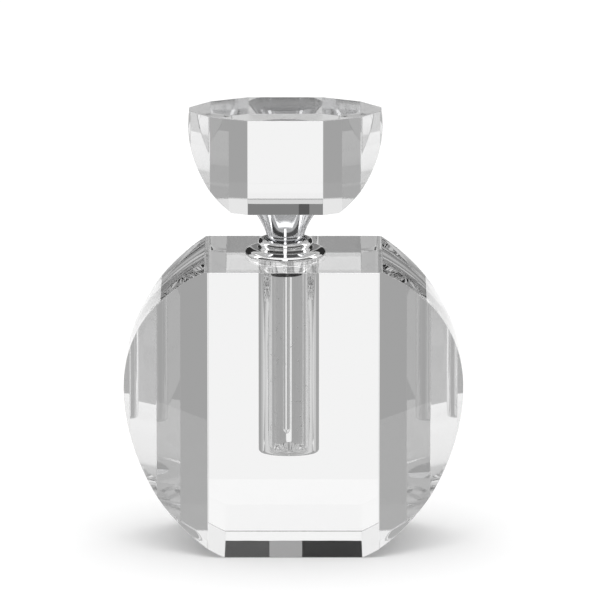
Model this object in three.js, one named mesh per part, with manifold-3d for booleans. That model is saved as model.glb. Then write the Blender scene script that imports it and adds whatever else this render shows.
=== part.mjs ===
// Stoppered crystal scent bottle with a chrome neck and a glass dauber, in millimetres, +Z up.
// The origin is the middle of the base flat. X runs across the wide face, Y from front to back.
import * as THREE from 'three';
import { mergeVertices } from 'three/addons/utils/BufferGeometryUtils.js';
import Module from 'manifold-3d';

const wasm = await Module();
wasm.setup();

// ---- Driving dimensions ------------------------------------------------------------------

// Crystal body: a thick disc stood on its rim, with its two flat faces cut back in facets.
// The disc is ground slightly flatter above its widest level than below it.
const discRadius = 40;
const discUpperReach = 36.3;
const discLowerReach = 41.2;
const discDepth = 38.8;
const baseHalfWidth = 16.2;
const shoulderHalfWidth = 20.8;
const innerFacetRun = 12.1;
const innerFacetSetback = 6.5;
const outerFacetRun = 7.8;
const outerFacetSetback = 8.3;

// Stopper crystal: the lower half of a smaller disc, cut the same way.
const stopperRadius = 22.8;
const stopperDepth = 26.6;
const stopperTopHalfWidth = 22.53;
const stopperBaseHalfWidth = 12.6;
const stopperInnerRun = 8.9;
const stopperInnerSetback = 4.7;
const stopperOuterRun = 5.1;
const stopperOuterSetback = 6.9;

// Bore in the body. The neck was bonded a little to one side of the bore.
const boreDepth = 46.2;
const boreEndDrop = 1.0;
const boreOffset = -1.1;
const neckOffset = -1.9;

// Neck stack, sized from the dauber rod outwards.
const rodRadius = 1.35;
const rodEndGap = 3.9;
const plugWall = 0.75;
const sealSection = 0.9;
const plugClearance = 0.6;
const linerWall = 0.8;
const collarWall = 0.9;

// Collar and stem heights, all measured up from the shoulder flat.
const spigotDepth = 3.2;
const flangeSeat = 2.4;
const flangeEdgeHeight = 0.55;
const flangeDomeHeight = 1.35;
const beadWall = 1.5;
const beadSection = 1.15;
const collarTop = 4.0;
const stemClearance = 0.6;
const stemFootRadius = 8.9;
const stemHeight = 8.7;
const stemFlare = 1.65;
const stemSeatDrop = 0.6;
const tangRadius = 2.2;
const tangLength = 5.5;
const rodSocketDepth = 6.4;
const sealDrop = 0.7;

// Clearances.
const fitGap = 0.3;
const glueGap = 0.4;

// Roundness of the faceted solids.
const arcSteps = 18;
const turnSteps = 48;
const cornerSteps = 6;

// ---- Sizes worked out from the ones above ------------------------------------------------

const baseDrop = flatHeight(discRadius, discLowerReach, baseHalfWidth);
const shoulderRise = flatHeight(discRadius, discUpperReach, shoulderHalfWidth);
const shoulderHeight = baseDrop + shoulderRise;

const socketRadius = rodRadius + fitGap;
const grooveRadius = socketRadius + plugWall;
const sealInner = grooveRadius + fitGap;
const sealOuter = sealInner + sealSection;
const linerBore = sealOuter + fitGap;
const linerOuter = linerBore + linerWall;
const plugRadius = linerBore - plugClearance;
const throatRadius = linerOuter + fitGap;
const spigotRadius = throatRadius + collarWall;
const boreRadius = spigotRadius + glueGap + Math.abs(neckOffset - boreOffset);
const flangeRadius = boreRadius + flangeSeat;
const beadRadius = throatRadius + beadWall;
const stemBaseRadius = throatRadius - stemClearance;
const stemBottom = collarTop - stemSeatDrop;
const stemTop = stemBottom + stemHeight;
const stopperBottom = stemTop + fitGap;
const stopperBaseDrop = flatHeight(stopperRadius, stopperRadius, stopperBaseHalfWidth);
const plugTop = stemBottom - fitGap;
const rodTop = rodSocketDepth - spigotDepth - fitGap;
const rodTip = rodEndGap - boreDepth;

// ---- Solids ------------------------------------------------------------------------------

// Turns a closed geometry into a solid that can be cut and joined.
function toSolid(geometry) {
  const bare = geometry.clone();
  bare.deleteAttribute('normal');
  bare.deleteAttribute('uv');
  const merged = mergeVertices(bare, 1e-5);
  const index = merged.index.array;
  const triVerts = [];
  for (let i = 0; i < index.length; i += 3) {
    const [a, b, c] = [index[i], index[i + 1], index[i + 2]];
    if (a !== b && b !== c && c !== a) triVerts.push(a, b, c);
  }
  return new wasm.Manifold(new wasm.Mesh({
    numProp: 3,
    vertProperties: new Float32Array(merged.attributes.position.array),
    triVerts: new Uint32Array(triVerts),
  }));
}

// Turns a solid back into a geometry.
function toGeometry(solid) {
  const mesh = solid.getMesh();
  const geometry = new THREE.BufferGeometry();
  geometry.setAttribute('position', new THREE.BufferAttribute(mesh.vertProperties, 3));
  geometry.setIndex(new THREE.BufferAttribute(mesh.triVerts, 1));
  return geometry;
}

// Turns a profile of [radius, height] points about the Z axis.
function turned(profile) {
  const points = profile.map(([r, z]) => new THREE.Vector2(r, z));
  return new THREE.LatheGeometry(points, turnSteps).rotateX(Math.PI / 2);
}

// Points on an arc in a turned profile, with separate radii across and up.
function profileArc(centreR, centreZ, radiusR, radiusZ, fromDeg, toDeg) {
  const points = [];
  for (let i = 0; i <= cornerSteps; i += 1) {
    const angle = THREE.MathUtils.degToRad(fromDeg + (toDeg - fromDeg) * i / cornerSteps);
    points.push([centreR + radiusR * Math.cos(angle), centreZ + radiusZ * Math.sin(angle)]);
  }
  return points;
}

// How far a flat of this half width lies from the widest level of an oval disc.
function flatHeight(radius, reach, halfWidth) {
  return reach * Math.sqrt(1 - (halfWidth / radius) ** 2);
}

// Outline of a disc on edge, with a flat above and a flat below its widest level.
function discOutline(cut) {
  const shape = new THREE.Shape();
  const up = Math.acos(cut.topHalfWidth / cut.radius);
  const down = Math.acos(cut.baseHalfWidth / cut.radius);
  shape.absellipse(0, 0, cut.radius, cut.lowerReach, -down, 0, false);
  shape.absellipse(0, 0, cut.radius, cut.upperReach, 0, up, false);
  shape.absellipse(0, 0, cut.radius, cut.upperReach, Math.PI - up, Math.PI, false);
  shape.absellipse(0, 0, cut.radius, cut.lowerReach, Math.PI, Math.PI + down, false);
  shape.closePath();
  return shape;
}

// Plan of a cut crystal: a wide face, an inner facet and an outer facet at each corner.
// The outer facets run on past the rim to a point on the X axis, and the disc trims them.
function facetPlan(cut) {
  const kneeX = cut.radius - cut.outerRun;
  const kneeY = cut.depth / 2 - cut.innerSetback;
  const faceX = kneeX - cut.innerRun;
  const apexX = kneeX + kneeY * cut.outerRun / cut.outerSetback;
  const shape = new THREE.Shape();
  shape.moveTo(apexX, 0);
  shape.lineTo(kneeX, kneeY);
  shape.lineTo(faceX, cut.depth / 2);
  shape.lineTo(-faceX, cut.depth / 2);
  shape.lineTo(-kneeX, kneeY);
  shape.lineTo(-apexX, 0);
  shape.lineTo(-kneeX, -kneeY);
  shape.lineTo(-faceX, -cut.depth / 2);
  shape.lineTo(faceX, -cut.depth / 2);
  shape.lineTo(kneeX, -kneeY);
  shape.closePath();
  return shape;
}

// A cut crystal with its widest level at the origin: the disc and its plan in common.
function cutCrystal(cut) {
  const spare = 1;
  const rise = flatHeight(cut.radius, cut.upperReach, cut.topHalfWidth);
  const drop = flatHeight(cut.radius, cut.lowerReach, cut.baseHalfWidth);
  const disc = new THREE.ExtrudeGeometry(discOutline(cut), {
    depth: cut.depth + 2 * spare,
    bevelEnabled: false,
    curveSegments: arcSteps,
  });
  disc.rotateX(Math.PI / 2);
  disc.translate(0, cut.depth / 2 + spare, 0);
  const plan = new THREE.ExtrudeGeometry(facetPlan(cut), {
    depth: rise + drop + 2 * spare,
    bevelEnabled: false,
  });
  plan.translate(0, 0, -drop - spare);
  return toSolid(disc).intersect(toSolid(plan));
}

// ---- Materials ---------------------------------------------------------------------------

function crystal(color) {
  return new THREE.MeshStandardMaterial({
    color, roughness: 0.03, metalness: 0, transparent: true, opacity: 0.35,
  });
}

function chrome() {
  return new THREE.MeshStandardMaterial({ color: 0xc8cacd, roughness: 0.08, metalness: 1 });
}

function plastic(color, roughness) {
  return new THREE.MeshStandardMaterial({ color, roughness, metalness: 0 });
}

function named(name, geometry, material) {
  const mesh = new THREE.Mesh(geometry, material);
  mesh.name = name;
  return mesh;
}

// ---- Sub-parts. Neck and stopper pieces are placed from the shoulder flat, on the neck axis.

function crystalBody() {
  const body = cutCrystal({
    radius: discRadius, upperReach: discUpperReach, lowerReach: discLowerReach,
    depth: discDepth, topHalfWidth: shoulderHalfWidth, baseHalfWidth,
    innerRun: innerFacetRun, innerSetback: innerFacetSetback,
    outerRun: outerFacetRun, outerSetback: outerFacetSetback,
  });
  const spare = 1;
  const bore = turned([
    [0, -boreDepth - boreEndDrop],
    [boreRadius, -boreDepth],
    [boreRadius, spare],
    [0, spare],
  ]);
  bore.translate(boreOffset, 0, shoulderRise);
  const mesh = named('crystal_body', toGeometry(body.subtract(toSolid(bore))), crystal(0xf4f6f6));
  mesh.position.z = baseDrop;
  return mesh;
}

function neckCollar() {
  const flangeInset = flangeRadius - beadRadius;
  const beadCentreR = beadRadius - beadSection;
  const beadCentreZ = collarTop - beadSection;
  const profile = [
    [throatRadius, -spigotDepth],
    [spigotRadius, -spigotDepth],
    [spigotRadius, fitGap],
    [flangeRadius - fitGap, fitGap],
    ...profileArc(beadRadius, flangeEdgeHeight, flangeInset, flangeDomeHeight, 0, 90),
    ...profileArc(beadCentreR, beadCentreZ, beadSection, beadSection, -45, 90),
    [throatRadius, collarTop],
    [throatRadius, -spigotDepth],
  ];
  return named('neck_collar', turned(profile), chrome());
}

function neckLiner() {
  const bottom = -spigotDepth + fitGap;
  return named('neck_liner', turned([
    [linerBore, bottom],
    [linerOuter, bottom],
    [linerOuter, plugTop],
    [linerBore, plugTop],
    [linerBore, bottom],
  ]), plastic(0xe9ebea, 0.45));
}

function sealRing() {
  const middle = (sealInner + sealOuter) / 2;
  const ring = new THREE.TorusGeometry(middle, sealSection / 2, 12, turnSteps);
  const mesh = named('seal_ring', ring, plastic(0xd9dcdb, 0.6));
  mesh.position.z = -sealDrop;
  return mesh;
}

function stopperCrystal() {
  const mesh = named('stopper_crystal', toGeometry(cutCrystal({
    radius: stopperRadius, upperReach: stopperRadius, lowerReach: stopperRadius,
    depth: stopperDepth, topHalfWidth: stopperTopHalfWidth, baseHalfWidth: stopperBaseHalfWidth,
    innerRun: stopperInnerRun, innerSetback: stopperInnerSetback,
    outerRun: stopperOuterRun, outerSetback: stopperOuterSetback,
  })), crystal(0xf4f6f6));
  mesh.position.z = stopperBottom + stopperBaseDrop;
  return mesh;
}

// The stem rises straight out of the collar and flares like a trumpet to its bonded foot.
function stopperStem() {
  const socketTop = stemBottom + tangLength;
  const tangSocket = tangRadius + fitGap;
  const flare = [];
  const flareSteps = 12;
  for (let i = 0; i <= flareSteps; i += 1) {
    const share = i / flareSteps;
    const radius = stemBaseRadius + (stemFootRadius - stemBaseRadius) * share ** stemFlare;
    flare.push([radius, collarTop + (stemTop - collarTop) * share]);
  }
  return named('stopper_stem', turned([
    [0, socketTop],
    [tangSocket, socketTop],
    [tangSocket, stemBottom],
    [stemBaseRadius, stemBottom],
    ...flare,
    [0, stemTop],
  ]), chrome());
}

// The plug: a tang bonded up into the stem, a shoulder, the seal's groove and the rod's socket.
function dauberPlug() {
  const socketTop = rodTop + fitGap;
  const grooveHalf = sealSection / 2 + fitGap;
  const tangTop = stemBottom + tangLength - fitGap;
  return named('dauber_plug', turned([
    [0, socketTop],
    [socketRadius, socketTop],
    [socketRadius, -spigotDepth],
    [plugRadius, -spigotDepth],
    [plugRadius, -sealDrop - grooveHalf],
    [grooveRadius, -sealDrop - grooveHalf],
    [grooveRadius, -sealDrop + grooveHalf],
    [plugRadius, -sealDrop + grooveHalf],
    [plugRadius, plugTop],
    [tangRadius, plugTop],
    [tangRadius, tangTop],
    [0, tangTop],
  ]), chrome());
}

function dauberRod() {
  return named('dauber_rod', turned([
    ...profileArc(0, rodTip + rodRadius, rodRadius, rodRadius, -90, 0),
    [rodRadius, rodTop],
    [0, rodTop],
  ]), crystal(0xf7f8f8));
}

// ---- Assembly ----------------------------------------------------------------------------

const bottle = new THREE.Group();
bottle.add(crystalBody());

const neck = new THREE.Group();
neck.position.set(neckOffset, 0, shoulderHeight);
neck.add(neckCollar(), neckLiner());

const stopper = new THREE.Group();
stopper.position.copy(neck.position);
stopper.add(sealRing(), stopperCrystal(), stopperStem(), dauberPlug(), dauberRod());

const scentBottle = new THREE.Group();
scentBottle.add(bottle, neck, stopper);

export default scentBottle;
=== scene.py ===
"""Stoppered crystal scent bottle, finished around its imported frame. Metres, +Z up."""
import math

import bmesh
import bpy
import numpy as np
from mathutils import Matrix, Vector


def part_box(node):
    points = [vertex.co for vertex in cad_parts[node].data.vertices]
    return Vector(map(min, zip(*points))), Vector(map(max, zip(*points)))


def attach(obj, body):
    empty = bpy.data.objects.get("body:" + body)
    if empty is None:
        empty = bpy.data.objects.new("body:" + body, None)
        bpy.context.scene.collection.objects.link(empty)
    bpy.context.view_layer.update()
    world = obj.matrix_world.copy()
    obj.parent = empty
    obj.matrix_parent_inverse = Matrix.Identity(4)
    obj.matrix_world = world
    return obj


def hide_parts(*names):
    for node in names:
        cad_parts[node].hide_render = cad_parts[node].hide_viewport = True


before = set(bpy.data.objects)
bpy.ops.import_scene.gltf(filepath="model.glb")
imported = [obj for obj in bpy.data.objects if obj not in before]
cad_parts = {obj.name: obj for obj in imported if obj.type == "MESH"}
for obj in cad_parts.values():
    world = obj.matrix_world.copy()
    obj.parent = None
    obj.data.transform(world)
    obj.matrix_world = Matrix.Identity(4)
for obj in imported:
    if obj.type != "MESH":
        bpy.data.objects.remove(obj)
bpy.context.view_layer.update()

MM = 0.001

# ---- Where things are, read from the frame ------------------------------------------------

body_low, body_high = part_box("crystal_body")
top_low, top_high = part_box("stopper_crystal")
collar_low, collar_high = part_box("neck_collar")
liner_low, liner_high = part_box("neck_liner")
seal_low, seal_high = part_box("seal_ring")
stem_low, stem_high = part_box("stopper_stem")
plug_low, plug_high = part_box("dauber_plug")
rod_low, rod_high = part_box("dauber_rod")

shoulder = body_high.z
neck_x = (collar_low.x + collar_high.x) / 2
neck_y = (collar_low.y + collar_high.y) / 2

# ---- Sizes that the frame's boxes don't give ----------------------------------------------

fit_gap = 0.3 * MM
disc_upper_reach = 36.3 * MM
disc_lower_reach = 41.2 * MM
shoulder_half = 20.8 * MM
base_half = 16.2 * MM
body_inner_facet = (12.1 * MM, 6.5 * MM)
body_outer_facet = (7.8 * MM, 8.3 * MM)
stopper_top_half = 22.53 * MM
stopper_base_half = 12.6 * MM
stopper_inner_facet = (8.9 * MM, 4.7 * MM)
stopper_outer_facet = (5.1 * MM, 6.9 * MM)
bore_x = -1.1 * MM
bore_radius = 7.1 * MM
bore_depth = 46.2 * MM
bore_end_drop = 1.0 * MM
throat_radius = 5.0 * MM
spigot_radius = 5.9 * MM
liner_bore = 3.9 * MM
rod_socket_radius = 1.65 * MM
plug_groove_radius = 2.4 * MM
tang_radius = 2.2 * MM
flange_edge_height = 0.55 * MM
flange_dome_height = 1.35 * MM
bead_radius = 6.5 * MM
bead_section = 1.15 * MM
stem_clearance = 0.6 * MM
stem_flare = 1.65
tang_length = 5.5 * MM
edge_polish = 0.16 * MM
corner_step = math.radians(0.9)


# ---- Mesh making --------------------------------------------------------------------------

def object_from(name, points, faces, smooth_angle=None):
    """A mesh object from vertices and faces, with coincident vertices welded."""
    mesh = bpy.data.meshes.new(name)
    mesh.from_pydata(np.asarray(points).tolist(), [], [list(f) for f in faces])
    welded = bmesh.new()
    welded.from_mesh(mesh)
    bmesh.ops.remove_doubles(welded, verts=welded.verts, dist=1e-7)
    bmesh.ops.recalc_face_normals(welded, faces=welded.faces)
    welded.to_mesh(mesh)
    welded.free()
    mesh.polygons.foreach_set("use_smooth", np.ones(len(mesh.polygons), bool))
    if smooth_angle is not None:
        mesh.set_sharp_from_angle(angle=math.radians(smooth_angle))
    mesh.update()
    piece = bpy.data.objects.new(name, mesh)
    bpy.context.scene.collection.objects.link(piece)
    return piece


def grid_faces(rows, columns, close_columns):
    """Quads of a grid of rows by columns, as indices counted row by row."""
    last = columns if close_columns else columns - 1
    i, j = np.meshgrid(np.arange(rows - 1), np.arange(last), indexing="ij")
    a = i * columns + j
    b = i * columns + (j + 1) % columns
    return np.stack([a, b, b + columns, a + columns], -1).reshape(-1, 4)


def turned(name, profile, x, y, columns=128, smooth_angle=32):
    """A profile of (radius, height) points turned about the vertical line through x, y.
    Point (i, j) is (x + radius_i cos t_j, y + radius_i sin t_j, height_i)."""
    radius, height = np.asarray(profile, float).T
    t = np.linspace(0, 2 * np.pi, columns, endpoint=False)
    points = np.stack([
        x + radius[:, None] * np.cos(t),
        y + radius[:, None] * np.sin(t),
        np.repeat(height[:, None], columns, 1),
    ], -1).reshape(-1, 3)
    return object_from(name, points, grid_faces(len(radius), columns, True), smooth_angle)


def arc(centre_r, centre_z, radius_r, radius_z, start, end, steps=12):
    """Points on an elliptical arc in a profile, from the start to the end angle in degrees."""
    t = np.radians(np.linspace(start, end, steps + 1))
    return list(zip(centre_r + radius_r * np.cos(t), centre_z + radius_z * np.sin(t)))


# ---- Cut crystal --------------------------------------------------------------------------

class Cut:
    """A disc on edge with a flat above and below, cut to a faceted plan."""

    def __init__(self, low, high, upper_reach, lower_reach, top_half, low_half, inner, outer):
        self.radius = (high.x - low.x) / 2
        self.x = (high.x + low.x) / 2
        self.y = (high.y + low.y) / 2
        self.half_depth = (high.y - low.y) / 2
        self.upper_reach = upper_reach
        self.lower_reach = lower_reach
        self.top_half = top_half
        self.low_half = low_half
        self.knee_x = self.radius - outer[0]
        self.face_x = self.knee_x - inner[0]
        self.knee_y = self.half_depth - inner[1]
        self.rim_y = self.knee_y - outer[1]
        self.middle = high.z - upper_reach * math.sqrt(1 - (top_half / self.radius) ** 2)

    def half_depth_at(self, x):
        """Half the depth of the plan at a distance x from its middle: straight between
        the face's end, the knee and the rim."""
        return np.interp(
            np.abs(x),
            [0, self.face_x, self.knee_x, self.radius],
            [self.half_depth, self.half_depth, self.knee_y, self.rim_y],
        )

    def outline(self, arc_step, flat_steps):
        """Points (x, z) round the disc, anticlockwise from the base flat's right end. A side
        is x = radius cos t, z = reach sin t, with a point wherever a facet ends and a longer
        step beside it, which leaves room for the polished edge."""
        def angle(x):
            return math.acos(x / self.radius)
        stops = [-angle(self.low_half)]
        stops += [-angle(v) for v in (self.face_x, self.knee_x) if v > self.low_half]
        stops += [0.0]
        stops += [angle(v) for v in (self.knee_x, self.face_x) if v > self.top_half]
        stops += [angle(self.top_half)]
        t = [stops[0]]
        for start, end in zip(stops, stops[1:]):
            if end - start > 4 * corner_step:
                steps = math.ceil((end - start) / arc_step)
                t += list(np.linspace(start + corner_step, end - corner_step, steps))
            t.append(end)
        t = np.array(t)
        reach = np.where(t > 0, self.upper_reach, self.lower_reach)
        side = np.stack([self.radius * np.cos(t), reach * np.sin(t)], 1)
        breaks = [v for v in (self.knee_x, self.face_x) if v < self.top_half - 1e-9]
        flat_x = np.array(breaks + list(np.linspace(min(breaks), -min(breaks), flat_steps))[1:-1]
                          + [-v for v in reversed(breaks)])
        flat = np.stack([flat_x, np.full(len(flat_x), side[-1, 1])], 1)
        breaks = [v for v in (self.knee_x, self.face_x) if v < self.low_half - 1e-9]
        base_x = np.array([-v for v in breaks] + breaks[::-1])
        base = np.stack([base_x, np.full(len(base_x), side[0, 1])], 1)
        return np.concatenate([side, flat, side[::-1] * [-1, 1], base])


def cut_crystal(name, cut, bore=None, arc_step=math.radians(0.2), across=40, flat_steps=40):
    """The polished surface of a cut crystal. Its rim is the outline ruled across the depth:
    point (i, j) is (x_i, v_j times the plan's half depth at x_i, z_i). Each facet is the flat
    polygon that the outline's points over it bound. With a bore, the shoulder is ruled from
    its border to the mouth, each point joined to the one in its direction."""
    ring = cut.outline(arc_step, flat_steps)
    count = len(ring)
    v = np.linspace(-1, 1, across + 1)
    depth = cut.half_depth_at(ring[:, 0])
    points = np.stack([
        np.repeat(ring[:, :1], across + 1, 1) + cut.x,
        depth[:, None] * v + cut.y,
        np.repeat(ring[:, 1:], across + 1, 1) + cut.middle,
    ], -1).reshape(-1, 3)
    top_z = ring[:, 1].max()
    on_top = ring[:, 1] > top_z - 1e-9
    rows = np.arange(count)
    faces = []
    for i in rows:
        k = (i + 1) % count
        if bore and on_top[i] and on_top[k]:
            continue
        start, end = i * (across + 1), k * (across + 1)
        faces += [(start + j, end + j, end + j + 1, start + j + 1) for j in range(across)]
    limits = [-cut.radius, -cut.knee_x, -cut.face_x, cut.face_x, cut.knee_x, cut.radius]
    for left, right in zip(limits, limits[1:]):
        over = rows[(ring[:, 0] > left - 1e-9) & (ring[:, 0] < right + 1e-9)]
        faces.append([i * (across + 1) for i in over])
        faces.append([i * (across + 1) + across for i in over])
    if bore:
        points, faces = add_bore(points, faces, rows[on_top], across, bore)
    piece = object_from(name, points, faces)
    polish = piece.modifiers.new("polished_edges", "BEVEL")
    polish.width = edge_polish
    polish.segments = 2
    polish.limit_method = "ANGLE"
    polish.angle_limit = math.radians(12)
    polish.harden_normals = True
    polish.use_clamp_overlap = False
    return piece


def add_bore(points, faces, top_rows, across, bore):
    """The bored hole: rings of the profile's radii, each with a point in the direction of
    every point of the shoulder's border."""
    stride = across + 1
    front = [i * stride for i in top_rows]
    back = [i * stride + across for i in top_rows]
    left = [top_rows[-1] * stride + j for j in range(1, across)]
    right = [top_rows[0] * stride + j for j in range(across - 1, 0, -1)]
    border = np.array(front + left + back[::-1] + right)
    around = points[border, :2] - [bore["x"], bore["y"]]
    direction = around / np.linalg.norm(around, axis=1)[:, None]
    rings = [
        np.column_stack([
            bore["x"] + radius * direction[:, 0],
            bore["y"] + radius * direction[:, 1],
            np.full(len(border), height),
        ])
        for radius, height in bore["profile"]
    ]
    first = len(points)
    points = np.concatenate([points, *rings])
    added = first + np.arange(len(rings) * len(border)).reshape(len(rings), -1)
    index = np.concatenate([border[None], added])
    nxt = np.roll(index, -1, 1)
    quads = np.stack([index[:-1], nxt[:-1], nxt[1:], index[1:]], -1).reshape(-1, 4)
    return points, faces + quads.tolist()


# ---- Materials ----------------------------------------------------------------------------

def new_material(name):
    material = bpy.data.materials.new(name)
    material.use_nodes = True
    return material, material.node_tree, material.node_tree.nodes["Principled BSDF"]


def node(tree, kind, **values):
    """A node with its properties and its input sockets set by name."""
    made = tree.nodes.new(kind)
    for key, value in values.items():
        if hasattr(made, key):
            setattr(made, key, value)
        else:
            made.inputs[key.replace("_", " ")].default_value = value
    return made


def object_noise(tree, scale, detail=3.0, stretch=(1, 1, 1)):
    """Noise on Object coordinates, stretched along an axis by a small scale on it."""
    place = node(tree, "ShaderNodeTexCoord")
    mapping = node(tree, "ShaderNodeMapping")
    mapping.inputs["Scale"].default_value = stretch
    noise = node(tree, "ShaderNodeTexNoise", Scale=scale, Detail=detail)
    tree.links.new(place.outputs["Object"], mapping.inputs["Vector"])
    tree.links.new(mapping.outputs["Vector"], noise.inputs["Vector"])
    return noise.outputs["Fac"]


def remap(tree, value, low, high, to_low, to_high):
    ramp = node(tree, "ShaderNodeMapRange")
    tree.links.new(value, ramp.inputs["Value"])
    for socket, number in (("From Min", low), ("From Max", high),
                           ("To Min", to_low), ("To Max", to_high)):
        ramp.inputs[socket].default_value = number
    return ramp.outputs["Result"]


def ramp_of(tree, value, stops):
    """A grey colour ramp over a value from 0 to 1, from a list of (position, level)."""
    ramp = node(tree, "ShaderNodeValToRGB")
    tree.links.new(value, ramp.inputs["Fac"])
    elements = ramp.color_ramp.elements
    for element, (position, level) in zip(elements, (stops[0], stops[-1])):
        element.position, element.color = position, (level, level, level, 1)
    for position, level in stops[1:-1]:
        elements.new(position).color = (level, level, level, 1)
    return ramp.outputs["Color"]


def math_node(tree, operation, *values):
    made = node(tree, "ShaderNodeMath", operation=operation)
    for socket, value in zip(made.inputs, values):
        if isinstance(value, (int, float)):
            socket.default_value = value
        else:
            tree.links.new(value, socket)
    return made.outputs[0]


def bump_from(tree, shader, height, strength, distance):
    bump = node(tree, "ShaderNodeBump", Strength=strength, Distance=distance)
    tree.links.new(height, bump.inputs["Height"])
    tree.links.new(bump.outputs["Normal"], shader.inputs["Normal"])


def polished_crystal(name, ior=1.53):
    """Clear crystal, with a very slow and faint wave left by the polishing wheel."""
    material, tree, shader = new_material(name)
    shader.inputs["Base Color"].default_value = (1, 1, 1, 1)
    shader.inputs["Transmission Weight"].default_value = 1
    shader.inputs["IOR"].default_value = ior
    shader.inputs["Roughness"].default_value = 0.0
    wave = object_noise(tree, 90, 2.0)
    bump_from(tree, shader, wave, 0.015, 0.05 * MM)
    return material


def bright_chrome(name, painted_shade_below=None):
    """Chrome plate: bright, with faint cloudiness and fine wipe marks in its polish. Below a
    height, its base colour is painted near black: painted shade on the part inside the bore."""
    material, tree, shader = new_material(name)
    shader.inputs["Base Color"].default_value = (0.78, 0.785, 0.80, 1)
    shader.inputs["Metallic"].default_value = 1
    cloud = object_noise(tree, 420, 4.0)
    tree.links.new(remap(tree, cloud, 0.3, 0.75, 0.03, 0.11), shader.inputs["Roughness"])
    wipe = object_noise(tree, 2600, 2.0, (1, 1, 0.15))
    bump_from(tree, shader, wipe, 0.04, 0.01 * MM)
    # Painted shade: below the given height the base colour ramps to near black, standing in for
    # shade on the spigot down in the bore.
    if painted_shade_below is not None:
        place = node(tree, "ShaderNodeTexCoord")
        split = node(tree, "ShaderNodeSeparateXYZ")
        tree.links.new(place.outputs["Object"], split.inputs[0])
        height = remap(tree, split.outputs["Z"], painted_shade_below, painted_shade_below + 0.1 * MM, 0, 1)
        painted_shade_tint = ramp_of(tree, height, [(0.0, 0.05), (1.0, 0.79)])
        tree.links.new(painted_shade_tint, shader.inputs["Base Color"])
    return material


def milky_plastic(name, painted_shade_tint, roughness):
    """Natural polyethylene or silicone: milky, slightly see-through, softly mottled."""
    material, tree, shader = new_material(name)
    shader.inputs["Base Color"].default_value = painted_shade_tint
    shader.inputs["Transmission Weight"].default_value = 0.35
    shader.inputs["IOR"].default_value = 1.5
    mottle = object_noise(tree, 900, 3.0)
    tree.links.new(remap(tree, mottle, 0.3, 0.7, roughness - 0.08, roughness + 0.08),
                   shader.inputs["Roughness"])
    return material


def dull_white(name):
    """Dried polishing residue: a dull, uneven white."""
    material, tree, shader = new_material(name)
    patch = object_noise(tree, 5200, 2.0)
    tree.links.new(ramp_of(tree, patch, [(0.25, 0.85), (0.7, 0.98)]), shader.inputs["Base Color"])
    shader.inputs["Roughness"].default_value = 0.6
    return material


crystal = polished_crystal("cut_crystal")
rod_glass = polished_crystal("drawn_rod_glass", 1.5)
chrome = bright_chrome("bright_chrome")
# The collar's spigot below the shoulder gets painted shade in its base colour.
collar_chrome_painted_shade = bright_chrome("collar_chrome_painted_shade", shoulder)
liner_plastic = milky_plastic("natural_polyethylene", (0.9, 0.92, 0.91, 1), 0.4)
seal_rubber = milky_plastic("clear_silicone", (0.86, 0.87, 0.86, 1), 0.5)
speck_residue = dull_white("white_residue")


def finish_piece(piece, material, body, slot, *nodes):
    piece.data.materials.append(material)
    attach(piece, body)
    if nodes:
        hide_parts(*nodes)
    return piece


# ---- Pieces -------------------------------------------------------------------------------

def make_body():
    cut = Cut(body_low, body_high, disc_upper_reach, disc_lower_reach, shoulder_half, base_half,
              body_inner_facet, body_outer_facet)
    corner = 0.9 * MM
    bottom = shoulder - bore_depth
    profile = [(bore_radius, z) for z in np.linspace(shoulder, bottom + corner, 24)]
    profile += arc(bore_radius - corner, bottom + corner, corner, corner, 0, -80, 8)[1:]
    profile += [(r, bottom - bore_end_drop * (1 - r / (bore_radius - corner)))
                for r in np.linspace(bore_radius - corner, 0, 8)[1:]]
    bore = {"x": bore_x, "y": neck_y, "profile": profile}
    return finish_piece(cut_crystal("cut_body", cut, bore), crystal, "bottle", "crystal",
                        "crystal_body")


def make_stopper():
    cut = Cut(top_low, top_high, (top_high.x - top_low.x) / 2, (top_high.x - top_low.x) / 2,
              stopper_top_half, stopper_base_half, stopper_inner_facet, stopper_outer_facet)
    return finish_piece(cut_crystal("cut_stopper", cut), crystal, "stopper", "crystal",
                        "stopper_crystal")


def make_collar():
    flange = (collar_high.x - collar_low.x) / 2
    foot_round, flange_round, lip_round = 0.2 * MM, 0.5 * MM, 0.15 * MM
    seat = shoulder + 0.05 * MM
    edge = shoulder + flange_edge_height
    bottom, top = collar_low.z, collar_high.z
    foot, lip = spigot_radius - foot_round, throat_radius + lip_round
    bead_middle = (bead_radius - bead_section, top - bead_section)
    profile = [(throat_radius, bottom), (foot, bottom)]
    profile += arc(foot, bottom + foot_round, foot_round, foot_round, -90, 0, 4)
    profile += [(spigot_radius, seat)]
    profile += arc(flange - flange_round, edge, flange_round, edge - seat, -90, 0, 8)
    profile += arc(bead_radius, edge, flange - bead_radius, flange_dome_height, 0, 88, 20)[1:]
    profile += arc(*bead_middle, bead_section, bead_section, -42, 90, 20)
    profile += [(lip, top)]
    profile += arc(lip, top - lip_round, lip_round, lip_round, 90, 180, 4)
    profile += [(throat_radius, bottom)]
    return finish_piece(turned("chrome_collar", profile, neck_x, neck_y), collar_chrome_painted_shade,
                        "bottle", "chrome", "neck_collar")


def make_liner():
    outer = (liner_high.x - liner_low.x) / 2
    lead = 0.25 * MM
    profile = [
        (liner_bore, liner_low.z), (outer - lead, liner_low.z), (outer, liner_low.z + lead),
        (outer, liner_high.z), (liner_bore + lead, liner_high.z),
        (liner_bore, liner_high.z - lead), (liner_bore, liner_low.z),
    ]
    return finish_piece(turned("liner_bush", profile, neck_x, neck_y), liner_plastic, "bottle",
                        "liner", "neck_liner")


def make_seal():
    outer = (seal_high.x - seal_low.x) / 2
    section = (seal_high.z - seal_low.z) / 2
    middle = (seal_high.z + seal_low.z) / 2
    profile = arc(outer - section, middle, section, section, -180, 180, 24)
    return finish_piece(turned("silicone_seal", profile, neck_x, neck_y), seal_rubber, "seal",
                        "seal", "seal_ring")


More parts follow.
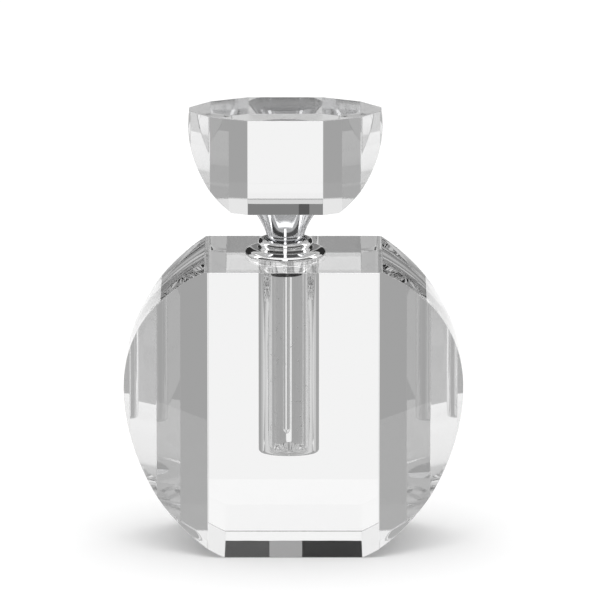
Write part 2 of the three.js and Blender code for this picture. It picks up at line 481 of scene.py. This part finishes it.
def make_stem():
    foot = (stem_high.x - stem_low.x) / 2
    base = throat_radius - stem_clearance
    chamfer = 0.2 * MM
    bottom, start = stem_low.z, collar_high.z
    share = np.linspace(0, 1, 40)
    socket = tang_radius + fit_gap
    socket_top = bottom + tang_length
    profile = [(0, socket_top), (socket, socket_top), (socket, bottom),
               (base - chamfer, bottom), (base, bottom + chamfer)]
    profile += list(zip(base + (foot - base) * share ** stem_flare,
                        start + (stem_high.z - start) * share))
    profile += [(0, stem_high.z)]
    return finish_piece(turned("trumpet_stem", profile, neck_x, neck_y), chrome, "stopper",
                        "chrome", "stopper_stem")


def make_plug():
    outer = (plug_high.x - plug_low.x) / 2
    shoulder_z = stem_low.z - fit_gap
    seal_z = (seal_high.z + seal_low.z) / 2
    groove_half = (seal_high.z - seal_low.z) / 2 + fit_gap
    socket_top = rod_high.z + fit_gap
    chamfer = 0.3 * MM
    profile = [
        (0, socket_top), (rod_socket_radius, socket_top), (rod_socket_radius, plug_low.z),
        (outer - chamfer, plug_low.z), (outer, plug_low.z + chamfer),
        (outer, seal_z - groove_half), (plug_groove_radius, seal_z - groove_half),
        (plug_groove_radius, seal_z + groove_half), (outer, seal_z + groove_half),
        (outer, shoulder_z), (tang_radius, shoulder_z), (tang_radius, plug_high.z),
        (0, plug_high.z),
    ]
    return finish_piece(turned("rod_plug", profile, neck_x, neck_y), chrome, "stopper",
                        "chrome", "dauber_plug")


def make_rod():
    radius = (rod_high.x - rod_low.x) / 2
    profile = arc(0, rod_low.z + radius, radius, radius, -90, 0, 16)
    profile += [(radius, z) for z in np.linspace(rod_low.z + radius, rod_high.z, 30)[1:]]
    profile += [(0, rod_high.z)]
    return finish_piece(turned("glass_dauber", profile, neck_x, neck_y, 64), rod_glass, "stopper",
                        "rod_glass", "dauber_rod")


def make_bore_specks():
    """Specks and short smears of polishing residue on the bore's wall. A speck is an oval
    dome: (length cos u cos v, width cos u sin v, height sin u) on the wall's tangent plane."""
    rng = np.random.default_rng(7)
    u, v = np.meshgrid(np.linspace(-np.pi / 2, np.pi / 2, 5), np.arange(6) * np.pi / 3,
                       indexing="ij")
    dome = np.stack([np.cos(u) * np.cos(v), np.cos(u) * np.sin(v), np.sin(u)], -1).reshape(-1, 3)
    quads = grid_faces(*u.shape, True)
    up = np.array([0, 0, 1])
    lift, wall_gap = 0.06 * MM, 0.10 * MM
    points, faces = [], []
    for i in range(46):
        smear = i % 3 == 0
        size = rng.uniform(0.14, 0.32) * MM
        length = size * (rng.uniform(3.0, 7.0) if smear else rng.uniform(1.0, 1.5))
        width = size * (0.35 if smear else 1.0)
        bearing = rng.uniform(0, 2 * np.pi)
        height = shoulder - rng.uniform(0.14, 0.97) ** 0.8 * bore_depth
        tilt = rng.uniform(0, np.pi)
        out = np.array([math.cos(bearing), math.sin(bearing), 0])
        across = np.array([-out[1], out[0], 0])
        along = math.cos(tilt) * across + math.sin(tilt) * up
        cross = -math.sin(tilt) * across + math.cos(tilt) * up
        reach = bore_radius - wall_gap - length ** 2 / (2 * bore_radius)
        centre = np.array([bore_x, neck_y, height]) + out * reach
        placed = dome * [length, width, lift] @ np.array([along, cross, out])
        faces += (quads + len(dome) * i).tolist()
        points.append(placed + centre)
    piece = object_from("bore_specks", np.concatenate(points), faces)
    return finish_piece(piece, speck_residue, "bottle", "crystal")


def make_floor():
    """A flat disc that the base stands on."""
    radius, drop, corners = 4.0, 0.02 * MM, 96
    t = np.linspace(0, 2 * np.pi, corners, endpoint=False)
    points = np.stack([radius * np.cos(t), radius * np.sin(t), np.full(corners, -drop)], 1)
    floor = object_from("pale_floor", points, [list(range(corners))])
    material, tree, shader = new_material("pale_card")
    shader.inputs["Base Color"].default_value = (0.86, 0.86, 0.86, 1)
    shader.inputs["Roughness"].default_value = 0.9
    floor.data.materials.append(material)
    floor.visible_transmission = False


def make_light():
    """A soft studio dome and a large soft light overhead. Below the horizon the dome is bright
    straight in front and behind, grey beyond and lighter to the sides. Above the horizon it is
    light low down and mid grey overhead, and darker straight in front and behind."""
    world = bpy.data.worlds.new("studio")
    bpy.context.scene.world = world
    world.use_nodes = True
    tree = world.node_tree
    background = tree.nodes["Background"]
    place = node(tree, "ShaderNodeTexCoord")
    split = node(tree, "ShaderNodeSeparateXYZ")
    tree.links.new(place.outputs["Generated"], split.inputs[0])
    height = split.outputs["Z"]
    bearing = math_node(tree, "ARCTAN2", split.outputs["X"], split.outputs["Y"])
    folded = math_node(tree, "PINGPONG", bearing, math.pi / 2)
    quarter = math_node(tree, "DIVIDE", folded, math.pi / 2)
    low = ramp_of(tree, quarter, [
        (0.0, 0.93), (0.09, 0.93), (0.115, 0.37), (0.70, 0.37), (0.80, 0.62), (1.0, 0.7)])
    high = ramp_of(tree, height, [(0.0, 0.85), (0.45, 0.8), (0.6, 0.55), (1.0, 0.6)])
    straight = ramp_of(tree, height, [(0.0, 0.24), (0.34, 0.24), (0.45, 0.5), (1.0, 0.6)])
    aside = ramp_of(tree, quarter, [(0.0, 0.0), (0.06, 0.0), (0.09, 1.0), (1.0, 1.0)])
    upper = blend(tree, aside, straight, high)
    above = math_node(tree, "GREATER_THAN", height, 0.0)
    tree.links.new(blend(tree, above, low, upper), background.inputs["Color"])

    lamp = bpy.data.lights.new("overhead", "AREA")
    lamp.size = 3.0
    lamp.energy = 42
    seat = bpy.data.objects.new("overhead", lamp)
    seat.location = (0, 0, 1.8)
    seat.visible_transmission = False
    bpy.context.scene.collection.objects.link(seat)


def blend(tree, share, first, second):
    mix = node(tree, "ShaderNodeMix", data_type="RGBA")
    tree.links.new(share, mix.inputs[0])
    tree.links.new(first, mix.inputs[6])
    tree.links.new(second, mix.inputs[7])
    return mix.outputs[2]


def make_card(name, points, faces, level, through_crystal):
    """A card that glows evenly, from its corners in mm. It is seen either only through the
    crystal or only in reflections."""
    card = object_from(name, np.asarray(points, float) * MM, faces)
    material, tree, shader = new_material(name)
    shader.inputs["Base Color"].default_value = (0, 0, 0, 1)
    shader.inputs["Specular IOR Level"].default_value = 0
    shader.inputs["Emission Color"].default_value = (level, level, level, 1)
    shader.inputs["Emission Strength"].default_value = 1
    card.data.materials.append(material)
    card.visible_camera = False
    card.visible_diffuse = False
    card.visible_shadow = False
    card.visible_glossy = not through_crystal
    card.visible_transmission = through_crystal


def upright(name, y, left, right, bottom, top, level):
    """An upright strip across the view, seen through the crystal."""
    corners = [(left, y, bottom), (right, y, bottom), (right, y, top), (left, y, top)]
    make_card(name, corners, [(0, 1, 2, 3)], level, True)


def drum(name, start, end, bottom, top, level, radius=1500):
    """A curved upright card seen in the chrome. Point (i, j) is (radius sin a_j,
    -radius cos a_j, z_i), where a is the bearing from straight in front, in degrees."""
    a = np.radians(np.linspace(start, end, 12))
    points = [(radius * math.sin(v), -radius * math.cos(v), z) for z in (bottom, top) for v in a]
    make_card(name, points, grid_faces(2, 12, False), level, False)


def make_cards():
    """Cards that the crystal's flats mirror to the eye: two levels of strips behind, for the
    base flats of the bottle and the stopper, a light strip in front for the shoulder, and the
    shade under the back of the base. The chrome has a shade on the floor in front, a slim light
    in front, one at each side, and dark between."""
    behind, ahead = 270, -300
    for name, left, right, bottom, top, level in (
            ("low_light", -24, 24, 62, 68.0, 0.93),
            ("low_dark_left", -24, -6.5, 68.0, 76, 0.06),
            ("low_grey", -6.5, 2.1, 68.0, 76, 0.34),
            ("low_dark_right", 2.1, 24, 68.0, 76, 0.0),
            ("high_light", -14, 11, 134, 140.3, 0.72),
            ("high_grey_left", -14, 1.2, 140.3, 150, 0.21),
            ("high_dark", 1.2, 4.0, 140.3, 150, 0.09),
            ("high_grey_right", 4.0, 11, 140.3, 150, 0.25)):
        upright(name, behind, left, right, bottom, top, level)
    upright("front_light", ahead, -90, 90, 139.3, 148, 0.93)
    make_card("under_back", [(-17, 0, -5), (17, 0, -5), (17, 32, -5), (-17, 32, -5)],
              [(0, 1, 2, 3)], 0.35, True)
    make_card("front_shade", [(-600, -1400, 1), (600, -1400, 1), (600, -90, 1), (-600, -90, 1)],
              [(0, 1, 2, 3)], 0.15, False)
    for name, start, end, bottom, top, level in (
            ("front_slit", -8, 6, -40, 1500, 2.2),
            ("front_dark_left", -84, -8, -40, 900, 0.07),
            ("front_dark_right", 6, 84, -40, 900, 0.12),
            ("left_box", -100, -84, 60, 1300, 2.4),
            ("right_box", 84, 100, 60, 1300, 2.4),
            ("back_dark_left", -172, -128, -40, 900, 0.03),
            ("back_dark_right", 128, 172, -40, 900, 0.03)):
        drum(name, start, end, bottom, top, level)


def make_camera():
    camera = bpy.data.cameras.new("camera")
    seat = bpy.data.objects.new("camera", camera)
    bpy.context.scene.collection.objects.link(seat)
    camera.lens = 600
    camera.sensor_width = 36
    elevation = math.radians(13.3)
    frame_width = 141.2 * MM
    distance = frame_width * camera.lens / camera.sensor_width
    target = (1.53 * MM, 0, 57.6 * MM)
    seat.location = (
        target[0],
        target[1] - distance * math.cos(elevation),
        target[2] + distance * math.sin(elevation),
    )
    seat.rotation_euler = (math.pi / 2 - elevation, 0, 0)
    camera.clip_start = 0.01
    camera.clip_end = 20
    bpy.context.scene.camera = seat


make_body()
make_stopper()
make_collar()
make_liner()
make_seal()
make_stem()
make_plug()
make_rod()
make_bore_specks()
make_floor()
make_light()
make_cards()
make_camera()

scene = bpy.context.scene
scene.view_settings.view_transform = "Standard"
scene.cycles.max_bounces = 24
scene.cycles.transmission_bounces = 24
scene.cycles.glossy_bounces = 12
